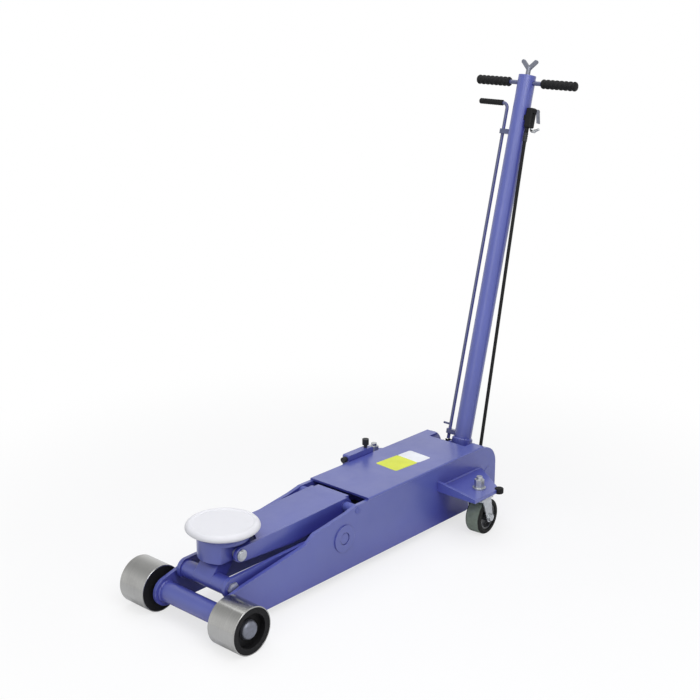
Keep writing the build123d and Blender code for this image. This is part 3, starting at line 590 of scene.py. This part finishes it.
def hose():
    """Air hose as a mesh tube swept along the route's smooth line."""
    curve = hose_line()
    line = bpy.data.objects.new("air_hose_line", curve)
    bpy.context.scene.collection.objects.link(line)
    bpy.context.view_layer.update()
    path = [vertex.co.copy() for vertex in bpy.data.meshes.new_from_object(line).vertices]
    curve.bevel_depth = HOSE_R
    curve.bevel_resolution = 5
    curve.use_fill_caps = True
    bpy.context.view_layer.update()
    mesh = bpy.data.meshes.new_from_object(line)
    bpy.data.objects.remove(line)
    mesh.materials.clear()
    mesh.materials.append(finishes["hose"])
    mesh.polygons.foreach_set("use_smooth", [True] * len(mesh.polygons))
    tube = bpy.data.objects.new("air_hose_tube", mesh)
    bpy.context.scene.collection.objects.link(tube)
    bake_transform(tube)
    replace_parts(tube, "air_hose")


hose()


def flexible_shaft():
    """Wound shaft between the spindle and the release rod, a straight turned mesh along the handle."""
    steps = 2 * FLEX_COILS
    profile = []
    for step in range(steps + 1):
        groove = FLEX_GROOVE if step % 2 else 1.0
        profile.append((FLEX_R * groove, FLEX_LOW + (FLEX_HIGH - FLEX_LOW) * step / steps))
    shaft = lathe("flex_shaft_wound", profile, handle_place, finishes["dark_steel"], sides=24)
    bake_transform(shaft)
    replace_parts(shaft, "flex_shaft")


flexible_shaft()


def ferrule(name, place, body):
    """Crimped sleeve over a hose end."""
    r = HOSE_R * FERRULE_SWELL
    waist = r * CRIMP_WAIST
    profile = [(HOSE_R, 0.0), (r, FERRULE_LIP)]
    for crimp in range(CRIMPS):
        low = CRIMP_FROM + CRIMP_PITCH * crimp
        high = low + CRIMP_W
        profile += [(r, low), (waist, low + FERRULE_LIP), (waist, high - FERRULE_LIP), (r, high)]
    profile += [(r, FERRULE_L - FERRULE_LIP), (HOSE_R, FERRULE_L)]
    piece = lathe(name, profile, place, finishes["dark_steel"], sides=28)
    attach(piece, body)


ferrule("hose_ferrule_low", Matrix.Translation(HOSE_FOOT), "chassis")
top_end = handle_place @ Matrix.Translation((*HOSE_TOP, HOSE_TOP_AT - FERRULE_L))
ferrule("hose_ferrule_high", top_end, "handle")


def weld(name, path, r, body, closed=False):
    """Rippled weld bead along a path, which may close on itself."""
    turns = [tau * side / WELD_SIDES for side in range(WELD_SIDES)]
    points = []
    count = len(path)
    for index, here in enumerate(path):
        before = path[index - 1] if closed or index else here
        after = path[(index + 1) % count] if closed or index < count - 1 else here
        way = (after - before).normalized()
        aside = way.orthogonal().normalized()
        up = way.cross(aside)
        swell = r * (1 + WELD_RIPPLE * sin(index * RIPPLE_TURN))
        points += [here + swell * (cos(turn) * aside + sin(turn) * up) for turn in turns]
    bead = new_mesh(name, points, ring_faces(count, WELD_SIDES, closed), finishes["blue_paint"])
    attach(bead, body)


def straight(start, end):
    """Points of a weld's path from start to end."""
    start, end = Vector(start), Vector(end)
    count = round((end - start).length / WELD_STEP)
    return [start.lerp(end, index / (count - 1)) for index in range(count)]


def circle(centre, r, place):
    """Points of a weld's path round the local z axis of place."""
    count = round(tau * r / WELD_STEP)
    turns = [tau * index / count for index in range(count)]
    return [place @ (Vector(centre) + Vector((r * cos(turn), r * sin(turn), 0))) for turn in turns]


wing_low, wing_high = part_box("wing_plates")
cover_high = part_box("top_cover")[1]
tube_low, tube_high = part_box("axle_tube")
axle_r = (tube_high[2] - tube_low[2]) / 2
for side, sign in (("left", -1), ("right", 1)):
    y = sign * cover_high[1]
    bead = straight((wing_low[0] + WELD_FRONT, y, WING_TOP), (wing_high[0] - WELD_REAR, y, WING_TOP))
    weld(f"wing_weld_{side}", bead, WELD_R, "chassis")
    axle_mid = ((tube_low[0] + tube_high[0]) / 2, sign * tube_high[1], (tube_low[2] + tube_high[2]) / 2)
    upright = Matrix.Translation(axle_mid) @ Matrix.Rotation(pi / 2, 4, "X")
    weld(f"axle_weld_{side}", circle((0, 0, 0), axle_r, upright), WELD_R, "chassis", closed=True)
collar_ring = circle((0, 0, COLLAR_TOP), TUBE_R, handle_place)
weld("collar_weld", collar_ring, COLLAR_WELD_R, "handle", closed=True)


def label(name, span, material):
    """Blank sticker on the cover, with clipped corners."""
    high = cover_high[2]
    x0, x1 = span
    half, clip = LABEL_HALF, LABEL_CLIP
    corners = [
        (x0 + clip, -half), (x1 - clip, -half), (x1, -half + clip), (x1, half - clip),
        (x1 - clip, half), (x0 + clip, half), (x0, half - clip), (x0, -half + clip),
    ]
    centre = Vector((LABEL_MID, LABEL_Y, 0))
    spin = Matrix.Rotation(LABEL_TURN, 4, "Z")
    points = []
    for z in (high, high + FILM_T):
        points += [centre + spin @ Vector((x, y, 0)) + Vector((0, 0, z)) for x, y in corners]
    piece = new_mesh(name, points, ring_faces(2, len(corners)), material, smooth=False)
    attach(piece, "chassis")


label("yellow_panel", YELLOW_SPAN, printed_film("yellow_film", LABEL_YELLOW))
label("white_panel", WHITE_SPAN, printed_film("white_film", LABEL_WHITE))


def lamp(name, at, aim, size, energy):
    """Square area light turned to a point."""
    light = bpy.data.lights.new(name, "AREA")
    light.size = size
    light.energy = energy
    piece = bpy.data.objects.new(name, light)
    piece.location = at
    piece.rotation_euler = (Vector(aim) - Vector(at)).to_track_quat("-Z", "Y").to_euler()
    bpy.context.scene.collection.objects.link(piece)


lamp("key", at=(-1.2, -2.2, 3.0), aim=(0, 0, 0.2), size=2.4, energy=74)
lamp("top", at=(0.2, 0.4, 3.2), aim=(0, 0, 0.2), size=3.0, energy=48)
lamp("front", at=(-3.2, -0.8, 1.8), aim=(-0.3, 0, 0.2), size=2.0, energy=18)


def seen_by(tree, first, *others):
    """1 for the given kinds of ray, 0 for all others."""
    path = tree.nodes.new("ShaderNodeLightPath")
    total = path.outputs[first]
    for name in others:
        node = tree.nodes.new("ShaderNodeMath")
        node.operation = "ADD"
        node.use_clamp = True
        tree.links.new(total, node.inputs[0])
        tree.links.new(path.outputs[name], node.inputs[1])
        total = node.outputs[0]
    return total


def studio_world():
    """Soft fill light; seen directly or mirrored, a room that is white round about and greyer overhead."""
    world = bpy.data.worlds.new("studio")
    bpy.context.scene.world = world
    world.use_nodes = True
    tree = world.node_tree
    glow = tree.nodes["Background"]
    glow.inputs["Color"].default_value = FILL_TINT
    glow.inputs["Strength"].default_value = FILL_LIGHT
    white = tree.nodes.new("ShaderNodeBackground")
    white.inputs["Strength"].default_value = 1.0
    way = tree.nodes.new("ShaderNodeSeparateXYZ")
    tree.links.new(tree.nodes.new("ShaderNodeTexCoord").outputs["Generated"], way.inputs[0])
    dome = tree.nodes.new("ShaderNodeValToRGB")
    for element, (position, grey) in zip(dome.color_ramp.elements, DOME):
        element.position = position
        element.color = (grey, grey, grey, 1)
    tree.links.new(way.outputs["Z"], dome.inputs["Fac"])
    tree.links.new(dome.outputs["Color"], white.inputs["Color"])
    mix = tree.nodes.new("ShaderNodeMixShader")
    tree.links.new(seen_by(tree, *CAMERA_RAYS, *MIRROR_RAYS), mix.inputs["Fac"])
    tree.links.new(glow.outputs[0], mix.inputs[1])
    tree.links.new(white.outputs[0], mix.inputs[2])
    tree.links.new(mix.outputs[0], tree.nodes["World Output"].inputs["Surface"])


def studio_floor():
    """Pale floor that keeps the shadow near the object and fades to white further out."""
    half = FLOOR_HALF
    corners = [(-half, -half, 0), (half, -half, 0), (half, half, 0), (-half, half, 0)]
    make = Finish("studio_floor")
    make.feed(make.shader.inputs["Base Color"], make.mottled(FLOOR, make.noise(3.0), 0.99, 1.01))
    make.set(Roughness=0.8)
    glow = make.add("ShaderNodeEmission")
    far = make.vector_math("LENGTH", make.place)["Value"]
    share = 0.0
    for rays, least in NEAR_GLOW:
        spread = make.add("ShaderNodeMapRange", interpolation_type="SMOOTHSTEP")
        spread.inputs["From Min"].default_value = FADE_FROM
        spread.inputs["From Max"].default_value = FADE_TO
        spread.inputs["To Min"].default_value = least
        make.feed(spread.inputs["Value"], far)
        seen = make.math("MULTIPLY", spread.outputs[0], seen_by(make.tree, *rays))
        share = make.math("ADD", seen, share)
    mix = make.add("ShaderNodeMixShader")
    make.feed(mix.inputs["Fac"], share)
    make.feed(mix.inputs[1], make.shader.outputs[0])
    make.feed(mix.inputs[2], glow.outputs[0])
    make.feed(make.tree.nodes["Material Output"].inputs["Surface"], mix.outputs[0])
    new_mesh("studio_floor", corners, [(0, 1, 2, 3)], make.material, smooth=False)


studio_world()
studio_floor()

lens = bpy.data.cameras.new("photo_view")
lens.sensor_width = SENSOR
lens.lens = CAMERA_LENS
camera = bpy.data.objects.new("photo_view", lens)
camera.location = CAMERA_AT
camera.rotation_euler = (Vector(CAMERA_AIM) - Vector(CAMERA_AT)).to_track_quat("-Z", "Y").to_euler()
bpy.context.scene.collection.objects.link(camera)
bpy.context.scene.camera = camera
bpy.context.scene.view_settings.view_transform = "Standard"
